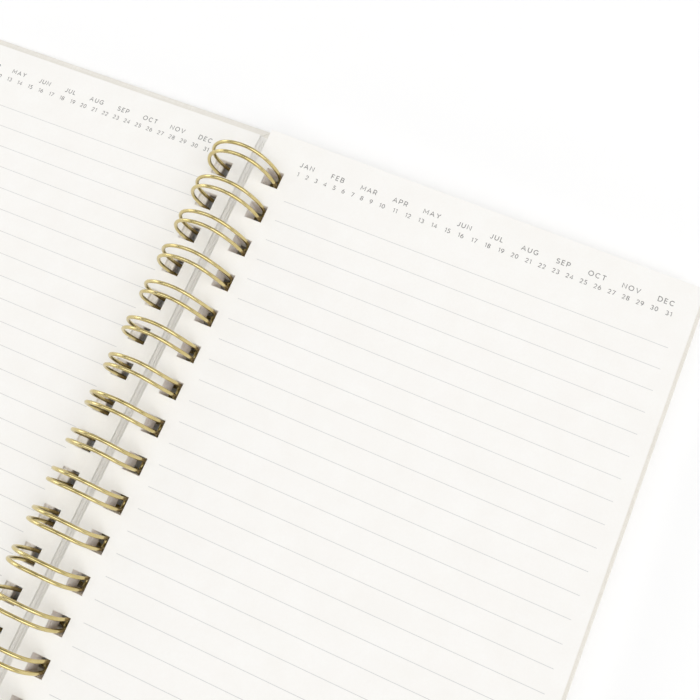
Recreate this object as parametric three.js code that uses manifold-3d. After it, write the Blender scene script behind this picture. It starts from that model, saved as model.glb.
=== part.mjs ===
// A twin-loop bound hardcover journal lying open on a table, with a thin left half and a thick right half.
// Millimetres, +Z up. X runs across the open journal and Y along its binding, towards the head of the pages.
// The origin lies on the table, under the ring's axis, halfway along the binding.
import * as THREE from "three";
import { mergeVertices } from "three/addons/utils/BufferGeometryUtils.js";
import Module from "manifold-3d";

// Paper
const LEAF_WIDTH = 148;
const LEAF_HEIGHT = 210;
const SHEET_THICKNESS = 0.12;
const SHEET_AIR = 0.1;
const RIGHT_LOOSE_LEAVES = 4;
const LEFT_LOOSE_LEAVES = 3;
const RIGHT_BLOCKS = 5;
const RIGHT_BLOCK_THICKNESS = 1.12;
const LEFT_BLOCKS = 2;
const LEFT_BLOCK_THICKNESS = 0.46;

// Twin-loop wire: its radius is that of the ring's centre line
const RING_RADIUS = 12.1;
const WIRE_DIAMETER = 1.2;
const PRONG_PITCH = 12.7;
const PRONG_COUNT = 15;
const PRONG_WIDTH = 3.52;
const BEND_RADIUS = 1.6;
const TIP_GAP = 0.5;
const END_STUB = 2;

// Punched holes, sized by the wire and the play that it has in them
const HOLE_MARGIN = 4.45;
const HOLE_SIDE_PLAY = 0.55;
const HOLE_TRAVEL = 4.8;
const PUNCH_PAST = 1;

// Play between the wire's outer side and the outer edge of the holes that it passes through
const OPEN_LEAF_PLAY = 0.9;
const LEFT_LEAF_PLAY = 1.95;
const LEFT_BLOCK_PLAY = 0.5;
const COVER_PLAY = 0.4;

// How much farther out a right leaf lies for each millimetre of its depth under the open page
const RIGHT_FAN = 0.15;

// Covers: a board in a wrap that is turned in over its edges, with an endpaper over the turn-ins
const COVER_DROP = 7.3;
const COVER_OVERHANG = 3;
const COVER_SETBACK = 0.4;
const BOARD_THICKNESS = 1.5;
const WRAP_THICKNESS = 0.25;
const TURN_IN = 14;
const ENDPAPER_THICKNESS = 0.2;
const ENDPAPER_INSET = 2.5;
const PASTE_GAP = 0.1;
const SEAM_PLAY = 0.5;

// Facets of the wire
const ARC_STEPS = 20;
const TIP_STEPS = 4;
const BEND_STEPS = 2;
const WIRE_SIDES = 6;
const GAP_SAMPLE = 0.6;
const GAP_SKIP = 4;

// Worked out from the sizes above
const RIGHT = 1;
const LEFT = -1;
const WIRE_RADIUS = WIRE_DIAMETER / 2;
const HOLE_WIDTH = WIRE_DIAMETER + HOLE_TRAVEL;
const HOLE_HEIGHT = PRONG_WIDTH + WIRE_DIAMETER + 2 * HOLE_SIDE_PLAY;
const AXIS_HEIGHT = RING_RADIUS + WIRE_RADIUS;
const COVER_THICKNESS =
  2 * WRAP_THICKNESS + BOARD_THICKNESS + ENDPAPER_THICKNESS + 3 * PASTE_GAP;
const COVER_BOTTOM = -COVER_DROP - COVER_THICKNESS;
const SEAM_ROOM = WIRE_DIAMETER + 2 * SEAM_PLAY;
const SEAM_Z = -COVER_DROP + SEAM_ROOM / 2;

// The height of each layer of a half, from the lowest up, over the ring's axis.
function layersOf(bottom, blocks, blockThickness, leaves) {
  const layers = [];
  let z = bottom;
  for (let i = 0; i < blocks + leaves; i++) {
    const thickness = i < blocks ? blockThickness : SHEET_THICKNESS;
    layers.push({ z, thickness });
    z += thickness + SHEET_AIR;
  }
  return layers;
}

// How far out the ring's centre line is at a height over its axis.
function ringReach(z) {
  return Math.sqrt(RING_RADIUS ** 2 - z ** 2);
}

// The outer edge of the holes of a layer that has some play on the ring where the ring passes through it.
function hungHoleEdge({ z, thickness }, play) {
  const nearest = Math.max(z, Math.min(0, z + thickness));
  return ringReach(nearest) + WIRE_RADIUS + play;
}

function bindingEdgeOf(holeEdge) {
  return holeEdge - HOLE_WIDTH - HOLE_MARGIN;
}

// The right leaves fan out downwards from the open page.
function fannedLayers(layers) {
  const open = layers[layers.length - 1];
  const openEdge = hungHoleEdge(open, OPEN_LEAF_PLAY);
  return layers.map((layer) => ({
    ...layer,
    holeEdge: openEdge + RIGHT_FAN * (open.z - layer.z),
  }));
}

// The left leaves follow the ring, and the loose ones have slid farther out than the blocks.
function hungLayers(layers) {
  return layers.map((layer, i) => ({
    ...layer,
    holeEdge: hungHoleEdge(layer, i < LEFT_BLOCKS ? LEFT_BLOCK_PLAY : LEFT_LEAF_PLAY),
  }));
}

const RIGHT_LAYERS = fannedLayers(
  layersOf(
    -COVER_DROP + SEAM_ROOM,
    RIGHT_BLOCKS,
    RIGHT_BLOCK_THICKNESS,
    RIGHT_LOOSE_LEAVES,
  ),
);
const LEFT_LAYERS = hungLayers(
  layersOf(
    -COVER_DROP + SHEET_AIR,
    LEFT_BLOCKS,
    LEFT_BLOCK_THICKNESS,
    LEFT_LOOSE_LEAVES,
  ),
);

const LOWEST_LEAVES = RIGHT_LAYERS[0];
const OPEN_LEAF = RIGHT_LAYERS[RIGHT_LAYERS.length - 1];

const COVER_HOLE_EDGE = ringReach(COVER_DROP) + WIRE_RADIUS + COVER_PLAY;
const COVER_BINDING_EDGE = COVER_SETBACK;
const COVER_FORE_EDGE =
  bindingEdgeOf(OPEN_LEAF.holeEdge) + LEAF_WIDTH + COVER_OVERHANG;
const COVER_HEIGHT = LEAF_HEIGHT + 2 * COVER_OVERHANG;

// The turn about the ring's axis that brings a point (x, z) off that axis down to a height.
function turnDownTo(height, x, z) {
  return Math.atan2(z, x) - Math.asin(height / Math.hypot(x, z));
}

// Each half tips outwards about the ring's axis until its cover's fore edge lies on the table.
const TILT = turnDownTo(-AXIS_HEIGHT, COVER_FORE_EDGE, COVER_BOTTOM);

// The right leaves lie over the wire's seam, and tip further until their fore edge meets the cover.
const RIGHT_LEAN = turnDownTo(
  -COVER_DROP + SHEET_AIR,
  bindingEdgeOf(LOWEST_LEAVES.holeEdge) + LEAF_WIDTH,
  LOWEST_LEAVES.z,
);

const PAPER = { color: 0xf8f6f0, roughness: 0.9, metalness: 0 };
const CLOTH = { color: 0xe9e5dc, roughness: 0.95, metalness: 0 };
const GREYBOARD = { color: 0xa9a49a, roughness: 1, metalness: 0 };
const ENDPAPER = { color: 0xf3eee2, roughness: 0.85, metalness: 0 };
const GOLD_WIRE = { color: 0xd6bf72, roughness: 0.3, metalness: 1 };

const wasm = await Module();
wasm.setup();

// A closed three.js geometry as a solid that can be cut.
function solidFrom(geometry) {
  const bare = geometry.clone();
  bare.deleteAttribute("normal");
  bare.deleteAttribute("uv");
  const merged = mergeVertices(bare, 1e-3);
  return new wasm.Manifold(
    new wasm.Mesh({
      numProp: 3,
      vertProperties: merged.attributes.position.array,
      triVerts: new Uint32Array(merged.index.array),
    }),
  );
}

function geometryFrom(solid) {
  const { vertProperties, triVerts } = solid.getMesh();
  const geometry = new THREE.BufferGeometry();
  geometry.setAttribute(
    "position",
    new THREE.BufferAttribute(vertProperties, 3),
  );
  geometry.setIndex(new THREE.BufferAttribute(triVerts, 1));
  geometry.computeVertexNormals();
  return geometry;
}

// The y of each prong, from the head of the binding to its foot.
function prongPlaces() {
  const first = ((PRONG_COUNT - 1) * PRONG_PITCH) / 2;
  return Array.from(
    { length: PRONG_COUNT },
    (_, i) => first - i * PRONG_PITCH,
  );
}

// A plain block between two distances outwards on a side, and between two places along Y, as a solid.
function blockSolid(side, near, far, y0, y1, z, thickness) {
  const block = new THREE.BoxGeometry(far - near, y1 - y0, thickness);
  block.translate((side * (near + far)) / 2, (y0 + y1) / 2, z + thickness / 2);
  return solidFrom(block);
}

// The room of the whole row of holes through a sheet.
function holeRow(side, holeEdge, z, thickness) {
  const holes = prongPlaces().map((y) =>
    blockSolid(
      side,
      holeEdge - HOLE_WIDTH,
      holeEdge,
      y - HOLE_HEIGHT / 2,
      y + HOLE_HEIGHT / 2,
      z - PUNCH_PAST,
      thickness + 2 * PUNCH_PAST,
    ),
  );
  return holes.reduce((row, hole) => row.add(hole));
}

// A flat sheet with its row of rectangular holes along the binding.
function punchedSheet({ side, near, far, height, holeEdge, z, thickness }) {
  const sheet = blockSolid(side, near, far, -height / 2, height / 2, z, thickness);
  return sheet.subtract(holeRow(side, holeEdge, z, thickness));
}

function piece(name, geometry, finish) {
  const mesh = new THREE.Mesh(geometry, new THREE.MeshStandardMaterial(finish));
  mesh.name = name;
  return mesh;
}

// A leaf, or a block of leaves that turn together, hanging on the ring.
function leafMesh(name, side, layer) {
  const { holeEdge, z, thickness } = layer;
  const near = bindingEdgeOf(holeEdge);
  const sheet = punchedSheet({
    side,
    near,
    far: near + LEAF_WIDTH,
    height: LEAF_HEIGHT,
    holeEdge,
    z,
    thickness,
  });
  return piece(name, geometryFrom(sheet), PAPER);
}

// Leaves and blocks are numbered from the open page down.
function leafMeshes(word, side, layers, blocks) {
  return layers.map((layer, i) =>
    i < blocks
      ? leafMesh(`${word}_leaf_block_${blocks - i}`, side, layer)
      : leafMesh(`${word}_leaf_${layers.length - i}`, side, layer),
  );
}

const BOARD_Z = COVER_BOTTOM + WRAP_THICKNESS + PASTE_GAP;
const BOARD_SETBACK = WRAP_THICKNESS + PASTE_GAP;

function boardMesh(word, side) {
  const board = punchedSheet({
    side,
    near: COVER_BINDING_EDGE + BOARD_SETBACK,
    far: COVER_FORE_EDGE - BOARD_SETBACK,
    height: COVER_HEIGHT - 2 * BOARD_SETBACK,
    holeEdge: COVER_HOLE_EDGE,
    z: BOARD_Z,
    thickness: BOARD_THICKNESS,
  });
  return piece(`${word}_cover_board`, geometryFrom(board), GREYBOARD);
}

// A block as large as the cover, less an inset on all four edges.
function insetBlock(side, inset, z, thickness) {
  const halfHeight = COVER_HEIGHT / 2 - inset;
  return blockSolid(
    side,
    COVER_BINDING_EDGE + inset,
    COVER_FORE_EDGE - inset,
    -halfHeight,
    halfHeight,
    z,
    thickness,
  );
}

// The covering material: the outer face, the four edges and the turn-ins, hollow where the board lies.
function wrapMesh(word, side) {
  const shell = punchedSheet({
    side,
    near: COVER_BINDING_EDGE,
    far: COVER_FORE_EDGE,
    height: COVER_HEIGHT,
    holeEdge: COVER_HOLE_EDGE,
    z: COVER_BOTTOM,
    thickness: 2 * WRAP_THICKNESS + BOARD_THICKNESS + 2 * PASTE_GAP,
  });
  const boardRoom = insetBlock(
    side,
    WRAP_THICKNESS,
    COVER_BOTTOM + WRAP_THICKNESS,
    BOARD_THICKNESS + 2 * PASTE_GAP,
  );
  const window = insetBlock(side, TURN_IN, BOARD_Z, COVER_THICKNESS);
  const wrap = shell.subtract(boardRoom).subtract(window);
  return piece(`${word}_cover_wrap`, geometryFrom(wrap), CLOTH);
}

function endpaperMesh(word, side) {
  const endpaper = punchedSheet({
    side,
    near: COVER_BINDING_EDGE + ENDPAPER_INSET,
    far: COVER_FORE_EDGE - ENDPAPER_INSET,
    height: COVER_HEIGHT - 2 * ENDPAPER_INSET,
    holeEdge: COVER_HOLE_EDGE,
    z: -COVER_DROP - ENDPAPER_THICKNESS,
    thickness: ENDPAPER_THICKNESS,
  });
  return piece(`${word}_endpaper`, geometryFrom(endpaper), ENDPAPER);
}

// Points of an arc about (s, y), where s is the way along the ring's circle, with both ends.
function arcPoints(s, y, radius, from, to, steps) {
  return Array.from({ length: steps + 1 }, (_, i) => {
    const a = from + ((to - from) * i) / steps;
    return [s + radius * Math.cos(a), y + radius * Math.sin(a)];
  });
}

// Points between two ends of a straight run round the ring, without the ends.
function runPoints(from, to, y) {
  return Array.from({ length: ARC_STEPS - 1 }, (_, i) => [
    from + ((to - from) * (i + 1)) / ARC_STEPS,
    y,
  ]);
}

// The middle of a rounded tip, far enough back for it to clear the bends that it lies between.
function tipCentre() {
  const reach = BEND_RADIUS + PRONG_WIDTH / 2;
  const clear = reach + WIRE_DIAMETER + TIP_GAP;
  const back = BEND_RADIUS - Math.sqrt(clear ** 2 - reach ** 2);
  return 2 * Math.PI * RING_RADIUS + back;
}

// One prong: up from the seam, round the ring, round its tip, back round the ring and out to the seam.
function prongRoute(y) {
  const half = PRONG_WIDTH / 2;
  const side = half + BEND_RADIUS;
  const tip = tipCentre();
  const quarter = Math.PI / 2;
  return [
    ...arcPoints(BEND_RADIUS, y + side, BEND_RADIUS, 2 * quarter, 3 * quarter, BEND_STEPS),
    ...runPoints(BEND_RADIUS, tip, y + half),
    ...arcPoints(tip, y, half, quarter, -quarter, TIP_STEPS),
    ...runPoints(tip, BEND_RADIUS, y - half),
    ...arcPoints(BEND_RADIUS, y - side, BEND_RADIUS, quarter, 2 * quarter, BEND_STEPS),
  ];
}

// The whole wire in one run, with a short cut end past the first prong and past the last.
function wireRoute() {
  const places = prongPlaces();
  const end = PRONG_WIDTH / 2 + BEND_RADIUS + END_STUB;
  return [
    [0, places[0] + end],
    ...places.flatMap(prongRoute),
    [0, places[places.length - 1] - end],
  ];
}

const SEAM_ANGLE = Math.asin(SEAM_Z / RING_RADIUS);

// A point of the route on the ring's cylinder, and the direction out of the cylinder there.
function onRing([s, y]) {
  const a = SEAM_ANGLE + s / RING_RADIUS;
  const outward = new THREE.Vector3(Math.cos(a), 0, Math.sin(a));
  const point = outward.clone().multiplyScalar(RING_RADIUS).setY(y);
  return { point, outward };
}

// A round tube along the route, with its rings turned by the cylinder that the wire lies on.
function tubeAlong(route) {
  const places = route.map(onRing);
  const last = places.length - 1;
  const position = [];
  places.forEach(({ point, outward }, i) => {
    const before = places[Math.max(i - 1, 0)].point;
    const after = places[Math.min(i + 1, last)].point;
    const along = after.clone().sub(before).normalize();
    const across = along.clone().cross(outward).normalize();
    for (let k = 0; k < WIRE_SIDES; k++) {
      const a = (2 * Math.PI * k) / WIRE_SIDES;
      const corner = point
        .clone()
        .addScaledVector(outward, WIRE_RADIUS * Math.cos(a))
        .addScaledVector(across, WIRE_RADIUS * Math.sin(a));
      position.push(corner.x, corner.y, corner.z);
    }
  });
  const geometry = new THREE.BufferGeometry();
  geometry.setAttribute(
    "position",
    new THREE.Float32BufferAttribute(position, 3),
  );
  geometry.setIndex(tubeFaces(last));
  geometry.computeVertexNormals();
  return geometry;
}

// The faces of a tube with the given number of steps, closed by a flat fan at each end.
function tubeFaces(steps) {
  const faces = [];
  for (let i = 0; i < steps; i++)
    for (let k = 0; k < WIRE_SIDES; k++) {
      const a = i * WIRE_SIDES + k;
      const b = i * WIRE_SIDES + ((k + 1) % WIRE_SIDES);
      const c = a + WIRE_SIDES;
      const d = b + WIRE_SIDES;
      faces.push(a, b, c, b, d, c);
    }
  const far = steps * WIRE_SIDES;
  for (let k = 1; k < WIRE_SIDES - 1; k++) {
    faces.push(0, k + 1, k);
    faces.push(far, far + k, far + k + 1);
  }
  return faces;
}

// Points closely spaced along the route, each with its distance from the route's start.
function samplesAlong(route) {
  const places = route.map(onRing);
  const samples = [];
  let start = 0;
  for (let i = 0; i + 1 < places.length; i++) {
    const from = places[i].point;
    const to = places[i + 1].point;
    const length = from.distanceTo(to);
    const steps = Math.ceil(length / GAP_SAMPLE);
    for (let k = 0; k < steps; k++)
      samples.push({
        at: start + (length * k) / steps,
        point: from.clone().lerp(to, k / steps),
      });
    start += length;
  }
  return samples;
}

// The least gap between the wire and another stretch of itself.
function leastGap(route) {
  const samples = samplesAlong(route);
  let least = Infinity;
  for (let i = 0; i < samples.length; i++)
    for (let k = i + 1; k < samples.length; k++) {
      if (samples[k].at - samples[i].at < GAP_SKIP) continue;
      const gap = samples[i].point.distanceTo(samples[k].point);
      least = Math.min(least, gap);
    }
  return least - WIRE_DIAMETER;
}

function wireMesh() {
  const route = wireRoute();
  console.log(
    `twin_loop_wire: least gap to itself ${leastGap(route).toFixed(2)} mm`,
  );
  return piece("twin_loop_wire", tubeAlong(route), GOLD_WIRE);
}

function coverMeshes(word, side) {
  return [
    boardMesh(word, side),
    wrapMesh(word, side),
    endpaperMesh(word, side),
  ];
}

// Pieces that are tipped outwards together about the ring's axis.
function tipped(side, angle, pieces) {
  const group = new THREE.Group();
  group.add(...pieces);
  group.rotation.y = side * angle;
  return group;
}

const rightLeaves = tipped(
  RIGHT,
  RIGHT_LEAN,
  leafMeshes("right", RIGHT, RIGHT_LAYERS, RIGHT_BLOCKS),
);
const rightHalf = tipped(RIGHT, TILT, [
  ...coverMeshes("back", RIGHT),
  wireMesh(),
  rightLeaves,
]);
const leftHalf = tipped(LEFT, TILT, [
  ...coverMeshes("front", LEFT),
  ...leafMeshes("left", LEFT, LEFT_LAYERS, LEFT_BLOCKS),
]);

const journal = new THREE.Group();
journal.position.z = AXIS_HEIGHT;
journal.add(rightHalf, leftHalf);

export default journal;
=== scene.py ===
"""The looks of a twin-loop bound hardcover journal that lies open on a pale table.

Lengths are in millimetres until mesh_object() writes a piece. Pieces are made in the frame of the half that
they belong to, whose origin is on the ring's axis, and are then tipped about that axis as the half is.
"""

import math
import random

import bpy
import numpy as np
from mathutils import Matrix, Vector
from mathutils.geometry import delaunay_2d_cdt


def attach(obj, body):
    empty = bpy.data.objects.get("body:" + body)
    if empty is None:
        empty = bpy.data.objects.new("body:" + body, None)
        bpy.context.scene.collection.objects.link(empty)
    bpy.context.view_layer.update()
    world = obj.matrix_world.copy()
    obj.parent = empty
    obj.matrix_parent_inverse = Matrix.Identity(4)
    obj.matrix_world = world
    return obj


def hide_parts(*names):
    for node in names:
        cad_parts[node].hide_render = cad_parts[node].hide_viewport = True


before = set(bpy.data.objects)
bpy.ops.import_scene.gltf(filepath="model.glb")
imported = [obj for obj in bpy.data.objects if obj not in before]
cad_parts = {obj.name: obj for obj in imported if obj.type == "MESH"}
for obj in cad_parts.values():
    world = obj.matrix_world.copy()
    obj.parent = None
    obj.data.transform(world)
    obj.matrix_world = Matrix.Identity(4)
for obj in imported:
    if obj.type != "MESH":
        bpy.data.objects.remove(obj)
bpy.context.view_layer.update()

MM = 0.001
SEED = 7

# Paper
LEAF_WIDTH = 148.0
LEAF_HEIGHT = 210.0
SHEET_THICKNESS = 0.12
SHEET_AIR = 0.1
RIGHT_LOOSE_LEAVES = 4
LEFT_LOOSE_LEAVES = 3
RIGHT_BLOCKS = 5
RIGHT_BLOCK_THICKNESS = 1.12
LEFT_BLOCKS = 2
LEFT_BLOCK_THICKNESS = 0.46

# Wire
RING_RADIUS = 12.1
WIRE_DIAMETER = 1.2
WIRE_RADIUS = WIRE_DIAMETER / 2
PRONG_PITCH = 12.7
PRONG_COUNT = 15
PRONG_WIDTH = 3.52
BEND_RADIUS = 1.6
TIP_GAP = 0.5
END_STUB = 2.0

# Punched holes: they let a leaf travel along the ring, with some play beside the prongs
HOLE_MARGIN = 4.45
HOLE_TRAVEL = 4.8
HOLE_SIDE_PLAY = 0.55
HOLE_WIDTH = WIRE_DIAMETER + HOLE_TRAVEL
HOLE_HEIGHT = PRONG_WIDTH + WIRE_DIAMETER + 2 * HOLE_SIDE_PLAY

# Play between the wire's outer side and the outer edge of the holes, and the fan of the right leaves
OPEN_LEAF_PLAY = 0.9
LEFT_LEAF_PLAY = 1.95
LEFT_BLOCK_PLAY = 0.5
COVER_PLAY = 0.4
RIGHT_FAN = 0.15

# Covers
COVER_DROP = 7.3
COVER_OVERHANG = 3.0
COVER_BINDING_EDGE = 0.4
BOARD_THICKNESS = 1.5
WRAP_THICKNESS = 0.25
TURN_IN = 14.0
ENDPAPER_THICKNESS = 0.2
PASTE_GAP = 0.1
SEAM_PLAY = 0.5
SEAM_ROOM = WIRE_DIAMETER + 2 * SEAM_PLAY

AXIS_HEIGHT = RING_RADIUS + WIRE_RADIUS
COVER_THICKNESS = 2 * WRAP_THICKNESS + BOARD_THICKNESS + ENDPAPER_THICKNESS + 3 * PASTE_GAP
COVER_BOTTOM = -COVER_DROP - COVER_THICKNESS
RIGHT = 1
LEFT = -1


def ring_reach(z):
    """How far out the ring's centre line is at a height over its axis."""
    return math.sqrt(RING_RADIUS**2 - z**2)


def hung_hole_edge(z, thickness, play):
    """The outer edge of the holes of a layer that has some play on the ring."""
    nearest = max(z, min(0.0, z + thickness))
    return ring_reach(nearest) + WIRE_RADIUS + play


def layers_of(bottom, blocks, block_thickness, leaves):
    """(height of the underside, thickness) of each layer of a half, from the lowest up."""
    layers = []
    z = bottom
    for i in range(blocks + leaves):
        thickness = block_thickness if i < blocks else SHEET_THICKNESS
        layers.append((z, thickness))
        z += thickness + SHEET_AIR
    return layers


RIGHT_LAYERS = layers_of(-COVER_DROP + SEAM_ROOM, RIGHT_BLOCKS, RIGHT_BLOCK_THICKNESS, RIGHT_LOOSE_LEAVES)
LEFT_LAYERS = layers_of(-COVER_DROP + SHEET_AIR, LEFT_BLOCKS, LEFT_BLOCK_THICKNESS, LEFT_LOOSE_LEAVES)
OPEN_LEAF_Z = RIGHT_LAYERS[-1][0]
OPEN_HOLE_EDGE = hung_hole_edge(*RIGHT_LAYERS[-1], OPEN_LEAF_PLAY)


def right_hole_edge(z, thickness):
    """The right leaves fan out downwards from the open page."""
    return OPEN_HOLE_EDGE + RIGHT_FAN * (OPEN_LEAF_Z - z)


def left_hole_edge(z, thickness):
    """The left leaves follow the ring, slid farther out the higher they lie, up to the loose ones."""
    lowest, loose = LEFT_LAYERS[0][0], LEFT_LAYERS[LEFT_BLOCKS][0]
    share = min((z - lowest) / (loose - lowest), 1.0)
    return hung_hole_edge(z, thickness, LEFT_BLOCK_PLAY + (LEFT_LEAF_PLAY - LEFT_BLOCK_PLAY) * share)


HOLE_EDGE = {"right": right_hole_edge, "left": left_hole_edge}


def binding_edge_of(hole_edge):
    """Where a leaf's binding edge is, from the outer edge of its holes."""
    return hole_edge - HOLE_WIDTH - HOLE_MARGIN


COVER_HOLE_EDGE = ring_reach(COVER_DROP) + WIRE_RADIUS + COVER_PLAY
COVER_FORE_EDGE = binding_edge_of(OPEN_HOLE_EDGE) + LEAF_WIDTH + COVER_OVERHANG
COVER_HEIGHT = LEAF_HEIGHT + 2 * COVER_OVERHANG


def turn_down_to(height, x, z):
    """The turn about the ring's axis that brings (x, z) down to a height."""
    return math.atan2(z, x) - math.asin(height / math.hypot(x, z))


TILT = turn_down_to(-AXIS_HEIGHT, COVER_FORE_EDGE, COVER_BOTTOM)
LEAN = turn_down_to(
    -COVER_DROP + SHEET_AIR,
    binding_edge_of(right_hole_edge(*RIGHT_LAYERS[0])) + LEAF_WIDTH,
    RIGHT_LAYERS[0][0],
)
TURN = {"right": TILT + LEAN, "left": -TILT, "back": TILT, "front": -TILT, "wire": TILT}


def placed(half):
    """The matrix that takes millimetres in a half's own frame to metres in the model's frame."""
    lift = Matrix.Translation((0, 0, AXIS_HEIGHT * MM))
    return lift @ Matrix.Rotation(TURN[half], 4, "Y") @ Matrix.Scale(MM, 4)


def mesh_object(name, vertices, faces, half, smooth=False):
    """A mesh object from vertices in a half's frame."""
    mesh = bpy.data.meshes.new(name)
    mesh.from_pydata([tuple(v) for v in vertices], [], [tuple(f) for f in faces])
    mesh.transform(placed(half))
    mesh.validate()
    if smooth:
        mesh.shade_smooth()
    made = bpy.data.objects.new(name, mesh)
    bpy.context.scene.collection.objects.link(made)
    return made


def dress(piece, body, slot, material, *nodes):
    """Puts a piece on its body with its finish, and hides the CAD nodes that it stands for."""
    piece.data.materials.clear()
    piece.data.materials.append(material)
    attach(piece, body)
    if nodes:
        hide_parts(*nodes)


# Materials

# How many radians a band texture of scale 1 turns in each metre
WAVE_RATE = 20


def srgb(r, g, b):
    """A linear colour from sRGB values of 0 to 255."""

    def linear(v):
        v /= 255
        return v / 12.92 if v <= 0.04045 else ((v + 0.055) / 1.055) ** 2.4

    return (linear(r), linear(g), linear(b), 1.0)


class Finish:
    """A node material, with short calls for the nodes that the finishes share."""

    def __init__(self, name, roughness, metallic=0.0):
        self.material = bpy.data.materials.new(name)
        self.material.use_nodes = True
        self.tree = self.material.node_tree
        self.shader = self.tree.nodes["Principled BSDF"]
        self.shader.inputs["Roughness"].default_value = roughness
        self.shader.inputs["Metallic"].default_value = metallic
        self.where = self.node("ShaderNodeTexCoord").outputs["Object"]

    def node(self, kind, **settings):
        made = self.tree.nodes.new(kind)
        for key, value in settings.items():
            setattr(made, key, value)
        return made

    def link(self, output, target):
        self.tree.links.new(output, target)

    def noise(self, scale, detail=3.0, roughness=0.55, stretch=None):
        made = self.node("ShaderNodeTexNoise")
        made.inputs["Scale"].default_value = scale
        made.inputs["Detail"].default_value = detail
        made.inputs["Roughness"].default_value = roughness
        self.link(self.stretched(stretch), made.inputs["Vector"])
        return made.outputs["Fac"]

    def stretched(self, stretch):
        if stretch is None:
            return self.where
        mapping = self.node("ShaderNodeMapping")
        mapping.inputs["Scale"].default_value = stretch
        self.link(self.where, mapping.inputs["Vector"])
        return mapping.outputs["Vector"]

    def wave(self, period, direction, distortion, detail_scale):
        """Straight bands of the given period in metres, slightly wandering."""
        made = self.node("ShaderNodeTexWave", wave_type="BANDS", bands_direction=direction)
        made.inputs["Scale"].default_value = 2 * math.pi / (WAVE_RATE * period)
        made.inputs["Distortion"].default_value = distortion
        made.inputs["Detail"].default_value = 2.0
        made.inputs["Detail Scale"].default_value = detail_scale
        self.link(self.where, made.inputs["Vector"])
        return made.outputs["Fac"]

    def ramp(self, value, stops):
        made = self.node("ShaderNodeValToRGB")
        elements = made.color_ramp.elements
        while len(elements) < len(stops):
            elements.new(0.5)
        for element, (place, colour) in zip(elements, stops):
            element.position = place
            element.color = colour
        self.link(value, made.inputs["Fac"])
        return made.outputs["Color"]

    def mix(self, share, a, b, blend="MIX"):
        made = self.node("ShaderNodeMix", data_type="RGBA", blend_type=blend)
        for value, socket in ((share, made.inputs[0]), (a, made.inputs[6]), (b, made.inputs[7])):
            self.put(value, socket)
        return made.outputs[2]

    def math(self, operation, a, b=0.0):
        made = self.node("ShaderNodeMath", operation=operation)
        self.put(a, made.inputs[0])
        self.put(b, made.inputs[1])
        return made.outputs[0]

    def to_range(self, value, low, high):
        made = self.node("ShaderNodeMapRange")
        made.inputs["To Min"].default_value = low
        made.inputs["To Max"].default_value = high
        self.link(value, made.inputs["Value"])
        return made.outputs["Result"]

    def put(self, value, socket):
        if isinstance(value, bpy.types.NodeSocket):
            self.link(value, socket)
        else:
            socket.default_value = value

    def bump(self, height, strength, distance, below=None):
        made = self.node("ShaderNodeBump")
        made.inputs["Strength"].default_value = strength
        made.inputs["Distance"].default_value = distance
        self.link(height, made.inputs["Height"])
        if below is not None:
            self.link(below, made.inputs["Normal"])
        return made.outputs["Normal"]

    def colour(self, value):
        self.put(value, self.shader.inputs["Base Color"])

    def roughness(self, value):
        self.put(value, self.shader.inputs["Roughness"])

    def normal(self, value):
        self.link(value, self.shader.inputs["Normal"])


def paper_finish(name, light, dark):
    """Uncoated paper: cloudy formation, fibres and a fine tooth."""
    finish = Finish(name, 0.9)
    cloud = finish.noise(110, detail=4)
    fibre = finish.noise(1500, detail=5, roughness=0.7)
    tone = finish.math("MULTIPLY", cloud, fibre)
    finish.colour(finish.ramp(tone, [(0.12, dark), (0.42, light)]))
    finish.roughness(finish.to_range(fibre, 0.82, 0.96))
    tooth = finish.bump(finish.noise(5200, detail=3, roughness=0.7), 0.22, 0.02 * MM)
    finish.normal(finish.bump(cloud, 0.2, 0.05 * MM, tooth))
    finish.shader.inputs["Specular IOR Level"].default_value = 0.3
    return finish.material


def ink_finish(name, colour, thin):
    """Printed ink that lets a little of the paper's tooth through."""
    finish = Finish(name, 0.8)
    finish.colour(finish.ramp(finish.noise(6000, detail=2), [(0.25, colour), (0.75, thin)]))
    finish.shader.inputs["Specular IOR Level"].default_value = 0.3
    return finish.material


def cloth_finish():
    """Book cloth: two sets of threads, slubs and a matt sizing."""
    finish = Finish("cover_cloth", 0.92)
    thread = 0.42 * MM
    warp = finish.wave(thread, "X", 1.2, 3.0)
    weft = finish.wave(thread * 1.08, "Y", 1.4, 3.0)
    weave = finish.math("MULTIPLY", warp, weft)
    slub = finish.noise(900, detail=3, stretch=(1.0, 0.12, 1.0))
    slub_across = finish.noise(900, detail=3, stretch=(0.12, 1.0, 1.0))
    cloud = finish.noise(45, detail=5)
    body = finish.ramp(weave, [(0.0, srgb(238, 235, 229)), (1.0, srgb(252, 251, 247))])
    flecks = finish.ramp(finish.math("MULTIPLY", slub, slub_across),
                         [(0.2, srgb(243, 240, 234)), (0.42, srgb(254, 253, 250))])
    finish.colour(finish.mix(0.5, body, flecks, "MULTIPLY"))
    finish.roughness(finish.to_range(cloud, 0.86, 0.98))
    threads = finish.bump(weave, 0.55, 0.09 * MM)
    finish.normal(finish.bump(finish.math("ADD", slub, slub_across), 0.35, 0.06 * MM, threads))
    finish.shader.inputs["Sheen Weight"].default_value = 0.12
    finish.shader.inputs["Specular IOR Level"].default_value = 0.25
    return finish.material


def greyboard_finish():
    """Raw board: grey pulp with darker and lighter specks."""
    finish = Finish("greyboard", 1.0)
    speck = finish.noise(2600, detail=6, roughness=0.8)
    finish.colour(finish.ramp(speck, [(0.3, srgb(178, 166, 158)), (0.7, srgb(214, 204, 196))]))
    finish.normal(finish.bump(speck, 0.5, 0.06 * MM))
    return finish.material


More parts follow.
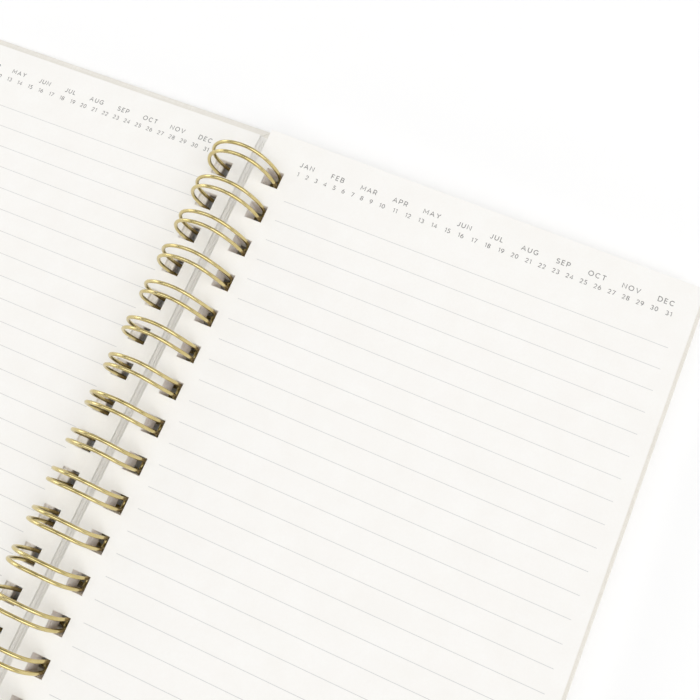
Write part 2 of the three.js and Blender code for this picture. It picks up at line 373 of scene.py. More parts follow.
def gold_finish():
    """Satin coated wire: a warm pale gold with fine drawing marks and faint handling marks."""
    finish = Finish("gold_wire", 0.3, metallic=1.0)
    marks = finish.noise(2400, detail=4, roughness=0.65)
    wear = finish.noise(260, detail=3)
    finish.colour(finish.ramp(wear, [(0.3, srgb(203, 186, 126)), (0.7, srgb(220, 204, 150))]))
    finish.roughness(finish.to_range(marks, 0.14, 0.28))
    finish.normal(finish.bump(marks, 0.12, 0.02 * MM))
    return finish.material


PAPER = paper_finish("paper", srgb(250, 249, 246), srgb(247, 245, 241))
# The hole walls' paper is pinker and brighter than the leaves' paper: painted warm light in the shade of the
# punched holes.
PAINTED_LIGHT_HOLE_PAPER = paper_finish("hole_paper_painted_light", srgb(255, 245, 240), srgb(252, 238, 232))
ENDPAPER = paper_finish("endpaper", srgb(243, 239, 230), srgb(239, 234, 225))
RULE_INK = ink_finish("rule_ink", srgb(209, 209, 209), srgb(217, 217, 216))
TYPE_INK = ink_finish("type_ink", srgb(124, 123, 122), srgb(138, 137, 136))
CLOTH = cloth_finish()
GREYBOARD = greyboard_finish()
GOLD = gold_finish()


# Punched sheets


def prong_places():
    """The y of each prong, from the head of the binding to its foot."""
    first = (PRONG_COUNT - 1) * PRONG_PITCH / 2
    return [first - i * PRONG_PITCH for i in range(PRONG_COUNT)]


def hole_bands():
    """The low and high y of each hole, from the foot up."""
    return [(y - HOLE_HEIGHT / 2, y + HOLE_HEIGHT / 2) for y in reversed(prong_places())]


def divided(values, longest):
    """The same sorted values with more between them, so that no step is over the longest."""
    fine = [values[0]]
    for a, b in zip(values, values[1:]):
        steps = max(1, math.ceil((b - a) / longest))
        fine += [a + (b - a) * (k + 1) / steps for k in range(steps)]
    return fine


def punched_sheet(side, near, far, height, hole_edge, low, high, step, shift=(0.0, 0.0)):
    """Vertices and faces of one closed sheet with its row of holes. low and high give a height at (x, y)."""
    holes = hole_bands()
    xs = divided([near, hole_edge - HOLE_WIDTH, hole_edge, far], step)
    ys = divided(sorted([-height / 2, height / 2] + [y for band in holes for y in band]), step)

    def open_cell(i, k):
        x = (xs[i] + xs[i + 1]) / 2
        y = (ys[k] + ys[k + 1]) / 2
        return hole_edge - HOLE_WIDTH < x < hole_edge and any(a < y < b for a, b in holes)

    full = [[not open_cell(i, k) for k in range(len(ys) - 1)] for i in range(len(xs) - 1)]
    return grid_slab(side, xs, ys, full, low, high, shift)


def grid_slab(side, xs, ys, full, low, high, shift):
    """A closed slab over the full cells of a grid, with a wall wherever a full cell meets an open one."""
    columns, rows = len(xs), len(ys)
    vertices = []
    for level in (low, high):
        for x in xs:
            for y in ys:
                px, py = side * x + shift[0], y + shift[1]
                vertices.append((px, py, level(px, py)))

    def at(level, i, k):
        return level * columns * rows + i * rows + k

    def is_full(i, k):
        return 0 <= i < columns - 1 and 0 <= k < rows - 1 and full[i][k]

    faces = []
    for i in range(columns - 1):
        for k in range(rows - 1):
            if not full[i][k]:
                continue
            corners = ((i, k), (i + 1, k), (i + 1, k + 1), (i, k + 1))
            faces.append([at(1, *c) for c in corners])
            faces.append([at(0, *c) for c in reversed(corners)])
            beside = ((i, k - 1), (i + 1, k), (i, k + 1), (i - 1, k))
            for n, cell in enumerate(beside):
                if not is_full(*cell):
                    a, b = corners[n], corners[(n + 1) % 4]
                    faces.append([at(0, *a), at(0, *b), at(1, *b), at(1, *a)])
    if side < 0:
        faces = [f[::-1] for f in faces]
    return tidy_mesh(vertices, faces)


def tidy_mesh(vertices, faces):
    """The same mesh without the vertices that no face uses."""
    used = sorted({v for f in faces for v in f})
    place = {v: n for n, v in enumerate(used)}
    return [vertices[v] for v in used], [[place[v] for v in f] for f in faces]


def joined(parts):
    """Several (vertices, faces) as one."""
    vertices, faces = [], []
    for more, more_faces in parts:
        start = len(vertices)
        vertices += list(more)
        faces += [[start + v for v in f] for f in more_faces]
    return vertices, faces


# Leaves

SHEETS_PER_MM = 8
BLOCK_SHEET_AIR = 0.01
LIFT_STEP = 6.0
PLAIN_STEP = 400.0
JOG_ACROSS = 0.07
JOG_ALONG = 0.09
CUT_SPREAD = 0.03
SINGLE_LEAVES = 2
SHEET_END = 1.0
WALL_SLOPE = 0.5

# The soft lift of the loose leaves: how high, from how far out, and the waves in it
LIFT_HEIGHT = 0.32
LIFT_START = 20.0
LIFT_POWER = 1.6
RIPPLE_SHARE = 0.45
RIPPLE_ALONG = 46.0
RIPPLE_ACROSS = 120.0
FIRST_PHASE = {RIGHT: 0.8, LEFT: 2.1}
PHASE_STEP = 1.7


def leaf_lift(side, order, loose):
    """How far a loose leaf rises off its flat lie: a long soft wave, higher on the upper leaves."""
    share = (loose - order) / loose
    phase = PHASE_STEP * order + FIRST_PHASE[side]

    def lift(x, y):
        out = min(max((abs(x) - LIFT_START) / LEAF_WIDTH, 0.0), 1.0)
        ripple = 0.5 + 0.5 * math.sin(y / RIPPLE_ALONG + phase + x / RIPPLE_ACROSS)
        return LIFT_HEIGHT * share * out**LIFT_POWER * (1 - RIPPLE_SHARE + RIPPLE_SHARE * ripple)

    return lift


def make_loose_leaf(word, side, number, layer, loose):
    """One leaf as a fine closed sheet with its soft lift."""
    z, thickness = layer
    edge = HOLE_EDGE[word](z, thickness)
    near = binding_edge_of(edge)
    lift = leaf_lift(side, number - 1, loose)
    vertices, faces = punched_sheet(
        side, near, near + LEAF_WIDTH, LEAF_HEIGHT, edge,
        lambda x, y: z + lift(x, y), lambda x, y: z + thickness + lift(x, y), LIFT_STEP,
    )
    return mesh_object(f"{word}_leaf_{number}_sheet", vertices, faces, word)


def line_holes(piece, half):
    """Gives the cut walls of a piece's punched holes a pinker, brighter paper than the leaves: painted warm
    light in the shade of the holes.
    """
    piece.data.materials.append(PAINTED_LIGHT_HOLE_PAPER)
    own = placed(half).inverted()
    for face in piece.data.polygons:
        x, y, _ = own @ face.center
        in_row = HOLE_MARGIN < abs(x) < HOLE_MARGIN + 2 * HOLE_WIDTH
        inside = abs(y) < LEAF_HEIGHT / 2 - SHEET_END
        if in_row and inside and abs(face.normal.z) < WALL_SLOPE:
            face.material_index = 1


def make_block(word, side, number, layer, rng):
    """The leaves of one block, each at its own place on the ring, cut and jogged a little unevenly."""
    z, thickness = layer
    count = round(thickness * SHEETS_PER_MM)
    pitch = (thickness + BLOCK_SHEET_AIR) / count
    parts = []
    for i in range(count):
        low = z + i * pitch
        high = low + pitch - BLOCK_SHEET_AIR
        edge = HOLE_EDGE[word](low, high - low)
        near = binding_edge_of(edge)
        shift = (rng.uniform(-JOG_ACROSS, JOG_ACROSS), rng.uniform(-JOG_ALONG, JOG_ALONG))
        far = near + LEAF_WIDTH + rng.uniform(-CUT_SPREAD, CUT_SPREAD)
        parts.append(punched_sheet(
            side, near, far, LEAF_HEIGHT, edge,
            lambda x, y, low=low: low, lambda x, y, high=high: high, PLAIN_STEP, shift,
        ))
    vertices, faces = joined(parts)
    return mesh_object(f"{word}_leaf_block_{number}_sheets", vertices, faces, word)


# Printing: rules, and a date strip at the head of each page

RULE_START = 4.0
RULE_LENGTH = 128.9
RULE_PITCH = 7.154
RULE_COUNT = 26
FIRST_RULE = 22.05
RULE_WIDTH = 0.2
INK_THICKNESS = 0.012
INK_STEP = 6.0
MONTHS = ("JAN", "FEB", "MAR", "APR", "MAY", "JUN", "JUL", "AUG", "SEP", "OCT", "NOV", "DEC")
DAYS = 31
MONTH_LINE = 8.15
DAY_LINE = 11.6
MONTH_FIRST = 2.15
MONTH_PITCH = 11.06
DIGIT_ADVANCE = 1.28
DAY_SPACE = 1.98
DAY_FIRST = 0.35
VERSO_SHIFT = 1.9
PRINTED_FRONTS = 3
PRINTED_BACKS = 2

# Lettering: strokes on a grid whose unit is a capital's height between the middles of its strokes
MONTH_HEIGHT = 1.75
DAY_HEIGHT = 1.55
STROKE_WEIGHT = 0.16
MONTH_TRACKING = 0.36
DAY_TRACKING = 0.26
BOW_STEP = 22.5
LONGEST_MITRE = 1.5
MERGE_DISTANCE = 1e-5


def bow(x, y, across, up, start, end):
    """Points of an arc about (x, y), with both ends, in degrees counterclockwise from the right."""
    steps = max(2, round(abs(end - start) / BOW_STEP))
    turns = [math.radians(start + (end - start) * i / steps) for i in range(steps + 1)]
    return [(x + across * math.cos(a), y + up * math.sin(a)) for a in turns]


# Each letter or digit: its width and its strokes
LETTERS = {
    "A": (0.9, [[(0, 0), (0.45, 1), (0.9, 0)], [(0.15, 0.33), (0.75, 0.33)]]),
    "B": (0.66, [[(0, 0), (0, 1), *bow(0.36, 0.765, 0.24, 0.235, 90, -90), (0, 0.53)],
                 [(0, 0.53), *bow(0.38, 0.265, 0.28, 0.265, 90, -90), (0, 0)]]),
    "C": (0.86, [bow(0.48, 0.5, 0.48, 0.5, 45, 315)]),
    "D": (0.8, [[(0, 0), (0, 1), *bow(0.34, 0.5, 0.46, 0.5, 90, -90), (0, 0)]]),
    "E": (0.58, [[(0.58, 1), (0, 1), (0, 0), (0.58, 0)], [(0, 0.52), (0.52, 0.52)]]),
    "F": (0.56, [[(0.56, 1), (0, 1), (0, 0)], [(0, 0.48), (0.5, 0.48)]]),
    "G": (0.9, [[*bow(0.48, 0.5, 0.48, 0.5, 45, 318), (0.86, 0.46), (0.52, 0.46)]]),
    "J": (0.46, [[(0.46, 1), *bow(0.23, 0.26, 0.23, 0.26, 0, -150)]]),
    "L": (0.54, [[(0, 1), (0, 0), (0.54, 0)]]),
    "M": (0.96, [[(0, 0), (0, 1), (0.48, 0.28), (0.96, 1), (0.96, 0)]]),
    "N": (0.78, [[(0, 0), (0, 1), (0.78, 0), (0.78, 1)]]),
    "O": (1.0, [bow(0.5, 0.5, 0.5, 0.5, 0, 360)]),
    "P": (0.64, [[(0, 0), (0, 1), *bow(0.36, 0.7, 0.28, 0.3, 90, -90), (0, 0.4)]]),
    "R": (0.66, [[(0, 0), (0, 1), *bow(0.36, 0.7, 0.28, 0.3, 90, -90), (0, 0.4)], [(0.36, 0.4), (0.66, 0)]]),
    "S": (0.62, [[*bow(0.31, 0.755, 0.29, 0.245, 32, 270), *bow(0.31, 0.255, 0.31, 0.255, 90, -148)[1:]]]),
    "T": (0.74, [[(0, 1), (0.74, 1)], [(0.37, 1), (0.37, 0)]]),
    "U": (0.74, [[(0, 1), *bow(0.37, 0.36, 0.37, 0.36, 180, 360), (0.74, 1)]]),
    "V": (0.86, [[(0, 1), (0.43, 0), (0.86, 1)]]),
    "Y": (0.8, [[(0, 1), (0.4, 0.44), (0.8, 1)], [(0.4, 0.44), (0.4, 0)]]),
    "0": (0.62, [bow(0.31, 0.5, 0.31, 0.5, 0, 360)]),
    "1": (0.26, [[(0, 0.84), (0.26, 1), (0.26, 0)]]),
    "2": (0.58, [[*bow(0.28, 0.7, 0.28, 0.3, 165, -38), (0, 0), (0.58, 0)]]),
    "3": (0.58, [[*bow(0.27, 0.755, 0.26, 0.245, 150, -90), *bow(0.27, 0.255, 0.31, 0.255, 90, -150)[1:]]]),
    "4": (0.68, [[(0.5, 0), (0.5, 1), (0, 0.26), (0.68, 0.26)]]),
    "5": (0.58, [[(0.53, 1), (0.11, 1), (0.07, 0.54), *bow(0.27, 0.3, 0.31, 0.3, 112, -150)]]),
    "6": (0.62, [bow(0.31, 0.3, 0.31, 0.3, 0, 360), [(0, 0.3), (0.06, 0.56), (0.2, 0.8), (0.42, 1)]]),
    "7": (0.6, [[(0, 1), (0.6, 1), (0.2, 0)]]),
    "8": (0.6, [bow(0.3, 0.75, 0.25, 0.25, 0, 360), bow(0.3, 0.25, 0.3, 0.25, 0, 360)]),
    "9": (0.62, [bow(0.31, 0.7, 0.31, 0.3, 0, 360), [(0.62, 0.7), (0.56, 0.44), (0.42, 0.2), (0.2, 0)]]),
}


def band_of(stroke):
    """The quads of a stroke's band, mitred at its corners."""
    points = [Vector(p) for p in stroke]
    closed = (points[0] - points[-1]).length < MERGE_DISTANCE
    ways = [(b - a).normalized() for a, b in zip(points, points[1:])]
    sides = []
    for i, point in enumerate(points):
        before = ways[i - 1] if i or closed else ways[0]
        after = ways[i] if i < len(ways) else (ways[0] if closed else ways[-1])
        middle = (before + after).normalized()
        across = Vector((-middle.y, middle.x))
        square = Vector((-before.y, before.x))
        reach = STROKE_WEIGHT / 2 / max(across.dot(square), 1 / LONGEST_MITRE)
        sides.append((point + across * reach, point - across * reach))
    return [(b[1], c[1], c[0], b[0]) for b, c in zip(sides, sides[1:])]


def filled(strokes):
    """The strokes of a letter as one flat outline: its points and its triangles."""
    bands = [quad for stroke in strokes for quad in band_of(stroke)]
    points = [p for quad in bands for p in quad]
    quads = [[4 * i, 4 * i + 1, 4 * i + 2, 4 * i + 3] for i in range(len(bands))]
    found, _, triangles, _, _, sources = delaunay_2d_cdt(points, [], quads, 1, MERGE_DISTANCE)
    return np.array([tuple(p) for p in found]), [list(t) for t, s in zip(triangles, sources) if s]


FILLED = {letter: (width, *filled(strokes)) for letter, (width, strokes) in LETTERS.items()}


def lettered(text, height, tracking):
    """A line of text as points and triangles in millimetres, with the line's middle at (0, 0)."""
    placed_letters = []
    along = 0.0
    for letter in text:
        width, points, faces = FILLED[letter]
        placed_letters.append((points + (along, 0), faces))
        along += width + STROKE_WEIGHT + tracking
    points, faces = joined(placed_letters)
    middle = ((along - STROKE_WEIGHT - tracking) / 2, 0.5)
    return (np.array(points) - middle) * height / (1 + STROKE_WEIGHT), faces


def date_strip():
    """The date strip's outlines in page places: along from the rules' start, down from the head."""
    lines = []
    for i, name in enumerate(MONTHS):
        lines.append((name, MONTH_HEIGHT, MONTH_TRACKING, MONTH_FIRST + i * MONTH_PITCH, MONTH_LINE))
    along = DAY_FIRST
    for day in range(1, DAYS + 1):
        more = DIGIT_ADVANCE * (len(str(day)) - 1)
        lines.append((str(day), DAY_HEIGHT, DAY_TRACKING, along + more / 2, DAY_LINE))
        along += DIGIT_ADVANCE + more + DAY_SPACE
    strip = []
    for text, height, tracking, x, down in lines:
        points, faces = lettered(text, height, tracking)
        strip.append((points * (1, -1) + (x, down), faces))
    return strip


STRIP = date_strip()


def page_places(points, edge, turned):
    """Page places as (x, y) in the half's frame. A right page reads outwards, a left page inwards."""
    along, down = points[:, 0], points[:, 1]
    x = edge + RULE_START + along
    if turned:
        x = VERSO_SHIFT - (edge + RULE_START + RULE_LENGTH - along)
    return np.column_stack([x, LEAF_HEIGHT / 2 - down])


def ink_slab(places, faces, surface, facing):
    """Flat outlines as a thin closed slab. facing is 1 on top of a leaf and -1 underneath it."""
    count = len(places)
    at_paper = [(x, y, surface(x, y)) for x, y in places]
    at_top = [(x, y, surface(x, y) + facing * INK_THICKNESS) for x, y in places]
    edges = {}
    for face in faces:
        for a, b in zip(face, face[1:] + face[:1]):
            edges[(a, b)] = True
    rim = [(a, b) for a, b in edges if (b, a) not in edges]
    made = [[v + count for v in f] for f in faces] + [f[::-1] for f in faces]
    made += [[a, b, b + count, a + count] for a, b in rim]
    return at_paper + at_top, made


def outward(part):
    """The same closed slab with its faces turned out."""
    vertices, faces = part
    volume = 0.0
    for face in faces:
        for b, c in zip(face[1:], face[2:]):
            volume += float(np.dot(vertices[face[0]], np.cross(vertices[b], vertices[c])))
    return (vertices, [f[::-1] for f in faces]) if volume < 0 else part


def rule_outline(number):
    """One rule as a row of short quads in page places."""
    down = FIRST_RULE + number * RULE_PITCH
    steps = math.ceil(RULE_LENGTH / INK_STEP)
    along = [RULE_LENGTH * i / steps for i in range(steps + 1)]
    points = [(a, down + s * RULE_WIDTH / 2) for a in along for s in (-1, 1)]
    faces = [[2 * i, 2 * i + 1, 2 * i + 3, 2 * i + 2] for i in range(steps)]
    return np.array(points), faces


def print_page(name, half, body, layer, lift, page, under):
    """Rules and date strip of one page. page is right or left; under puts it on the leaf's lower face."""
    z, thickness = layer
    edge = HOLE_EDGE[half](z, thickness)
    level = z if under else z + thickness
    facing = -1 if under else 1

    def surface(x, y):
        return level + lift(x, y)

    for kind, outlines, ink in (
        ("rules", [rule_outline(n) for n in range(RULE_COUNT)], RULE_INK),
        ("dates", STRIP, TYPE_INK),
    ):
        parts = []
        for points, faces in outlines:
            places = page_places(points, edge, page == "left")
            if under:
                places = places * (-1, 1)
            parts.append(outward(ink_slab(places, faces, surface, facing)))
        vertices, faces = joined(parts)
        piece = mesh_object(f"{name}_{kind}", vertices, faces, half)
        dress(piece, body, "paper", ink)


def flat(x, y):
    """The lift of a leaf that lies flat."""
    return 0.0


def make_pages():
    """Every leaf and block with the printing on the faces that can be seen."""
    rng = random.Random(SEED)
    for word, side, layers, blocks in (
        ("right", RIGHT, RIGHT_LAYERS, RIGHT_BLOCKS),
        ("left", LEFT, LEFT_LAYERS, LEFT_BLOCKS),
    ):
        loose = len(layers) - blocks
        stack = f"{word}_leaves"
        other = "left" if word == "right" else "right"
        for i, layer in enumerate(layers):
            if i < blocks:
                number = blocks - i
                block = make_block(word, side, number, layer, rng)
                dress(block, stack, "paper", PAPER, f"{word}_leaf_block_{number}")
                line_holes(block, word)
                continue
            number = len(layers) - i
            body = f"{word}_page_{number}" if number <= SINGLE_LEAVES else stack
            leaf = make_loose_leaf(word, side, number, layer, loose)
            dress(leaf, body, "paper", PAPER, f"{word}_leaf_{number}")
            line_holes(leaf, word)
            if number <= PRINTED_FRONTS:
                lift = leaf_lift(side, number - 1, loose)
                print_page(f"{word}_leaf_{number}_front", word, body, layer, lift, word, False)
            if number <= PRINTED_BACKS:
                print_page(f"{word}_leaf_{number}_back", word, body, layer, lift, other, True)
        print_page(f"{word}_last_leaf_back", word, stack, layers[0], flat, other, True)


# Covers

CORNER_SOFTNESS = 0.55
BEVEL_SEGMENTS = 4
MITRE_WIDTH = 0.14
MITRE_DEPTH = 0.12
MITRE_START = 0.8
OVERCUT = 1.0
SHARP_ANGLE = 35.0


def block_shape(x0, x1, y0, y1, z0, z1):
    """Corners and faces of a plain block, used only to cut with or to be cut."""
    corners = [(x, y, z) for z in (z0, z1) for y in (y0, y1) for x in (x0, x1)]
    faces = [(0, 2, 3, 1), (4, 5, 7, 6), (0, 1, 5, 4), (2, 6, 7, 3), (0, 4, 6, 2), (1, 3, 7, 5)]
    return corners, faces


def apply_modifiers(piece):
    """Makes a piece's modifiers part of its mesh."""
    graph = bpy.context.evaluated_depsgraph_get()
    mesh = bpy.data.meshes.new_from_object(piece.evaluated_get(graph))
    piece.modifiers.clear()
    piece.data = mesh


def soften(piece, width):
    """Rounds the edges of a piece."""
    modifier = piece.modifiers.new("soft_edges", "BEVEL")
    modifier.width = width * MM
    modifier.segments = BEVEL_SEGMENTS
    modifier.limit_method = "ANGLE"
    apply_modifiers(piece)


def cut(piece, cutter):
    """Cuts one object out of another and removes it."""
    modifier = piece.modifiers.new("cut", "BOOLEAN")
    modifier.operation = "DIFFERENCE"
    modifier.solver = "EXACT"
    modifier.object = cutter
    apply_modifiers(piece)
    bpy.data.objects.remove(cutter)


def cover_block(name, half, side, inset, z0, z1):
    """A block as large as the cover, less an inset on all four edges."""
    xs = sorted((side * (COVER_BINDING_EDGE + inset), side * (COVER_FORE_EDGE - inset)))
    y = COVER_HEIGHT / 2 - inset
    return mesh_object(name, *block_shape(*xs, -y, y, z0, z1), half)


def hole_cutter(half, side):
    """One block for each hole of a cover, as one object to cut with."""
    xs = sorted((side * (COVER_HOLE_EDGE - HOLE_WIDTH), side * COVER_HOLE_EDGE))
    zs = (COVER_BOTTOM - OVERCUT, -COVER_DROP + OVERCUT)
    blocks = [block_shape(*xs, *band, *zs) for band in hole_bands()]
    return mesh_object("hole_cutter", *joined(blocks), half)


def mitre_cutter(half, x, y, toward_x, toward_y, top):
    """A narrow bar along the fold of a corner's turn-in, from the corner to the window's corner."""
    reach = math.sqrt(2) * TURN_IN
    angle = math.atan2(toward_y, toward_x)
    along = Vector((math.cos(angle), math.sin(angle), 0))
    across = Vector((-along.y, along.x, 0)) * MITRE_WIDTH / 2
    start = Vector((x, y, 0)) + along * MITRE_START
    ends = (start, start + along * reach)
    corners = [tuple(e + s * across + Vector((0, 0, z)))
               for z in (top - MITRE_DEPTH, top + OVERCUT) for e in ends for s in (-1, 1)]
    faces = [(0, 1, 3, 2), (4, 6, 7, 5), (0, 4, 5, 1), (2, 3, 7, 6), (0, 2, 6, 4), (1, 5, 7, 3)]
    return mesh_object("mitre_cutter", corners, faces, half)


def make_wrap(word, side):
    """The covering material with soft edges, mitred turn-ins, and the room of the board inside it."""
    top = -COVER_DROP - ENDPAPER_THICKNESS - PASTE_GAP
    wrap = cover_block(f"{word}_cover_cloth", word, side, 0.0, COVER_BOTTOM, top)
    soften(wrap, CORNER_SOFTNESS)
    cut(wrap, hole_cutter(word, side))
    board_low = COVER_BOTTOM + WRAP_THICKNESS
    cut(wrap, cover_block("board_room", word, side, WRAP_THICKNESS, board_low, top - WRAP_THICKNESS))
    cut(wrap, cover_block("window", word, side, TURN_IN, board_low + PASTE_GAP, top + OVERCUT))
    for y_end in (1, -1):
        for x, inward in ((COVER_BINDING_EDGE, 1), (COVER_FORE_EDGE, -1)):
            corner = (side * x, y_end * COVER_HEIGHT / 2)
            cut(wrap, mitre_cutter(word, *corner, side * inward, -y_end, top))
    wrap.data.shade_smooth()
    wrap.data.set_sharp_from_angle(angle=math.radians(SHARP_ANGLE))
    return wrap


def make_covers():
    """Both covers: a wrap of their own, and the board and endpaper with their finish."""
    for word, side in (("back", RIGHT), ("front", LEFT)):
        dress(make_wrap(word, side), f"{word}_cover", "cover_cloth", CLOTH, f"{word}_cover_wrap")
        for node, material in ((f"{word}_cover_board", GREYBOARD), (f"{word}_endpaper", ENDPAPER)):
            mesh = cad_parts[node].data
            mesh.materials.clear()
            mesh.materials.append(material)


# Wire

LOOP_STEPS = 88
TIP_STEPS = 16
BEND_STEPS = 8
WIRE_SIDES = 16
END_RINGS = 4
END_SHRINK = 0.35
END_DEPTH = 0.2

# The lean of the loops: the share of a point's height that it lies towards the head
LOOP_LEAN = 0.0775
FIRST_LOOP_LEAN = 0.035
LEAN_SPREAD = 0.008
LOW_LEAN = 0.03
CROSS_LEAN = 0.015
UPRIGHT_POWER = 3.0
HEAD_UPRIGHT_POWERS = (1.0, 1.5)


def arc(s, y, radius, start, end, steps):
    """Points of an arc about (s, y), with both ends. s is the way along the ring's circle."""
    turns = [start + (end - start) * i / steps for i in range(steps + 1)]
    return [(s + radius * math.cos(a), y + radius * math.sin(a)) for a in turns]


def run(start, end, y):
    """Points of a straight run along the circle, without its ends."""
    return [(start + (end - start) * (i + 1) / LOOP_STEPS, y) for i in range(LOOP_STEPS - 1)]


def tip_centre():
    """Where a prong's tip turns back, so that it stays clear of the link that it closes on."""
    reach = BEND_RADIUS + PRONG_WIDTH / 2
    clear = reach + WIRE_DIAMETER + TIP_GAP
    return 2 * math.pi * RING_RADIUS + BEND_RADIUS - math.sqrt(clear**2 - reach**2)


def prong_route(y):
    """One prong: out of the link, round the ring, back at its tip and into the next link."""
    half = PRONG_WIDTH / 2
    side = half + BEND_RADIUS
    tip = tip_centre()
    quarter = math.pi / 2
    return (
        arc(BEND_RADIUS, y + side, BEND_RADIUS, 2 * quarter, 3 * quarter, BEND_STEPS)
        + run(BEND_RADIUS, tip, y + half)
        + arc(tip, y, half, quarter, -quarter, TIP_STEPS)
        + run(tip, BEND_RADIUS, y - half)
        + arc(BEND_RADIUS, y - side, BEND_RADIUS, quarter, 2 * quarter, BEND_STEPS)
    )


def lean_of(ys, centre, places):
    """How far each point of the wire lies towards the head, as each loop leans a little differently.

    The right side of a loop bends back upright sooner than its left side, except nearest the head.
    """
    rng = random.Random(SEED)
    spread = [FIRST_LOOP_LEAN] + [rng.uniform(-LEAN_SPREAD, LEAN_SPREAD) for _ in places[1:]]
    nearest = np.clip(np.rint((places[0] - ys) / PRONG_PITCH).astype(int), 0, PRONG_COUNT - 1)
    height = np.clip(centre[:, 2], 0, None)
    depth = np.clip(centre[:, 2], None, 0)
    rest = [UPRIGHT_POWER] * (PRONG_COUNT - len(HEAD_UPRIGHT_POWERS))
    power = np.array([*HEAD_UPRIGHT_POWERS, *rest])[nearest]
    share = np.where(centre[:, 0] > 0, (height / RING_RADIUS) ** power, 1.0)
    lean = (LOOP_LEAN + np.array(spread)[nearest]) * height * share
    return lean + LOW_LEAN * depth + CROSS_LEAN * centre[:, 0]


def wire_route(places):
    """The wire's centre line unrolled, as (way along the ring's circle, y) from the head to the foot."""
    end = PRONG_WIDTH / 2 + BEND_RADIUS + END_STUB
    route = [(0.0, places[0] + end)]
    for y in places:
        route += prong_route(y)
    route.append((0.0, places[-1] - end))
    return np.array(route)


def wire_rings(centre, out):
    """The rings of points round the wire's centre line, with a slightly rounded cut at each end."""
    along = np.gradient(centre, axis=0)
    along /= np.linalg.norm(along, axis=1)[:, None]
    across = np.cross(along, out)
    across /= np.linalg.norm(across, axis=1)[:, None]
    turns = 2 * math.pi * np.arange(WIRE_SIDES) / WIRE_SIDES
    ring = np.cos(turns)[None, :, None] * out[:, None, :]
    ring = ring + np.sin(turns)[None, :, None] * across[:, None, :]
    rings = list(centre[:, None, :] + WIRE_RADIUS * ring)
    for k in range(1, END_RINGS + 1):
        angle = math.pi / 2 * k / (END_RINGS + 1)
        radius = WIRE_RADIUS * (1 - END_SHRINK * (1 - math.cos(angle)))
        out_by = END_DEPTH * math.sin(angle)
        rings.insert(0, centre[0] + radius * ring[0] - along[0] * out_by)
        rings.append(centre[-1] + radius * ring[-1] + along[-1] * out_by)
    return rings


def tube_faces(count):
    """The faces of a tube of so many rings, with a flat face at each end."""
    faces = []
    for i in range(count - 1):
        for k in range(WIRE_SIDES):
            a, b = i * WIRE_SIDES + k, i * WIRE_SIDES + (k + 1) % WIRE_SIDES
            faces.append((a, b, b + WIRE_SIDES, a + WIRE_SIDES))
    last = (count - 1) * WIRE_SIDES
    faces.append(tuple(range(WIRE_SIDES))[::-1])
    faces.append(tuple(last + k for k in range(WIRE_SIDES)))
    return faces


def make_wire():
    """The wire as one round tube on the ring's cylinder, from its seam round to its seam."""
    places = prong_places()
    route = wire_route(places)
    seam = math.asin((-COVER_DROP + SEAM_ROOM / 2) / RING_RADIUS)
    angle = seam + route[:, 0] / RING_RADIUS
    out = np.column_stack([np.cos(angle), np.zeros(len(angle)), np.sin(angle)])
    centre = out * RING_RADIUS
    centre[:, 1] = route[:, 1] + lean_of(route[:, 1], centre, places)
    rings = wire_rings(centre, out)
    wire = mesh_object("twin_loop", np.concatenate(rings), tube_faces(len(rings)), "wire", smooth=True)
    dress(wire, "back_cover", "gold_wire", GOLD, "twin_loop_wire")


# Stage: the table and the near limit of sight are in metres

TABLE_SIZE = 20.0
NEAREST_SEEN = 0.01
CAMERA_PLACE = (93.50, -2.66, 245.89)
CAMERA_RIGHT = (0.91672, 0.39523, -0.05853)
CAMERA_DOWN = (0.37258, -0.89853, -0.23200)
CAMERA_FORWARD = (-0.14428, 0.19087, -0.97095)
LENS = 41.58
SENSOR = 36.0


def make_camera():
    """The camera at the photograph's place, which is set out from the open right page."""
    data = bpy.data.cameras.new("camera")
    data.lens = LENS
    data.sensor_width = SENSOR
    data.clip_start = NEAREST_SEEN
    camera = bpy.data.objects.new("camera", data)
    bpy.context.scene.collection.objects.link(camera)
    up = [-v for v in CAMERA_DOWN]
    back = [-v for v in CAMERA_FORWARD]
    axes = Matrix((CAMERA_RIGHT, up, back)).transposed().to_4x4()
    turn = Matrix.Rotation(TURN["right"], 4, "Y")
    place = placed("right") @ Vector(CAMERA_PLACE)
    camera.matrix_world = Matrix.Translation(place) @ turn @ axes
    bpy.context.scene.camera = camera


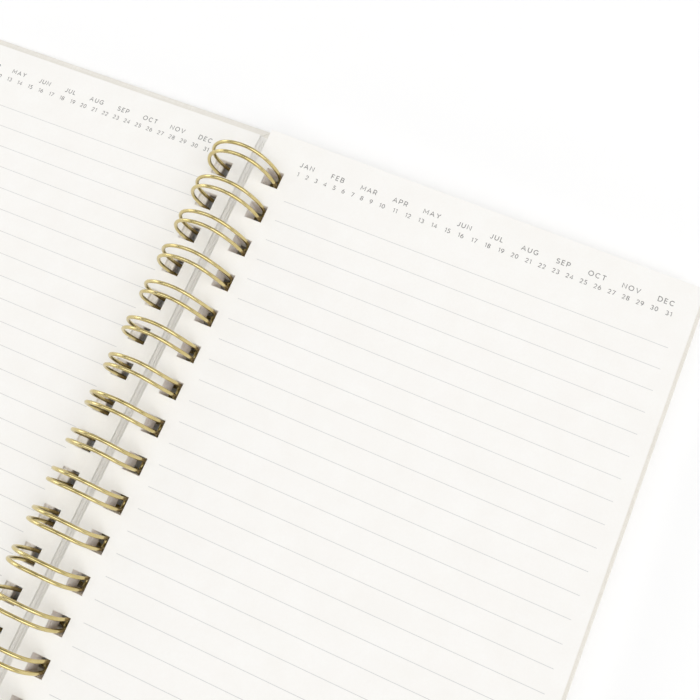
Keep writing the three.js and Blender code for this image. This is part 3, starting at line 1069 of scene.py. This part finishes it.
# Light: three soft lamps, each with its way, its spread in degrees and its strength,
# in a surround that is white at the horizon
LAMPS = {
    "key": ((0.58, -0.3, 1.0), 58.0, 1.5),
    "top": ((-0.46, -0.14, 1.0), 50.0, 0.91),
    "rim": ((-0.93, 0.1, 0.3), 24.0, 0.34),
}
HORIZON = (1.0, 0.995, 0.99, 1.0)
ZENITH = (0.21, 0.209, 0.208, 1.0)
HORIZON_TOP = 0.25
ZENITH_START = 0.5


def make_sun(name, way, spread, strength):
    """A soft distant lamp that shines from a way off."""
    data = bpy.data.lights.new(name, "SUN")
    data.angle = math.radians(spread)
    data.energy = strength
    lamp = bpy.data.objects.new(name, data)
    lamp.location = way
    lamp.rotation_euler = Vector(way).to_track_quat("Z", "Y").to_euler()
    bpy.context.scene.collection.objects.link(lamp)


def make_surround():
    """The world: white at the horizon and grey overhead."""
    world = bpy.data.worlds.new("surround")
    world.use_nodes = True
    nodes, links = world.node_tree.nodes, world.node_tree.links
    axes = nodes.new("ShaderNodeSeparateXYZ")
    ramp = nodes.new("ShaderNodeValToRGB")
    links.new(nodes.new("ShaderNodeTexCoord").outputs["Generated"], axes.inputs["Vector"])
    links.new(axes.outputs["Z"], ramp.inputs["Fac"])
    links.new(ramp.outputs["Color"], nodes["Background"].inputs["Color"])
    low, high = ramp.color_ramp.elements
    low.position, low.color = HORIZON_TOP, HORIZON
    high.position, high.color = ZENITH_START, ZENITH
    bpy.context.scene.world = world


def make_stage():
    """A pale table under the soft light."""
    bpy.ops.mesh.primitive_plane_add(size=TABLE_SIZE)
    floor = bpy.context.object
    floor.name = "table"
    finish = Finish("table", 0.75)
    cloud = finish.noise(14, detail=4)
    finish.colour(finish.ramp(cloud, [(0.3, srgb(254, 254, 254)), (0.7, srgb(255, 255, 255))]))
    floor.data.materials.append(finish.material)
    make_surround()
    for name, (way, spread, strength) in LAMPS.items():
        make_sun(name, way, spread, strength)


def set_view():
    """Colours are shown as they are."""
    bpy.context.scene.view_settings.view_transform = "Standard"


make_camera()
make_pages()
make_covers()
make_wire()
make_stage()
set_view()
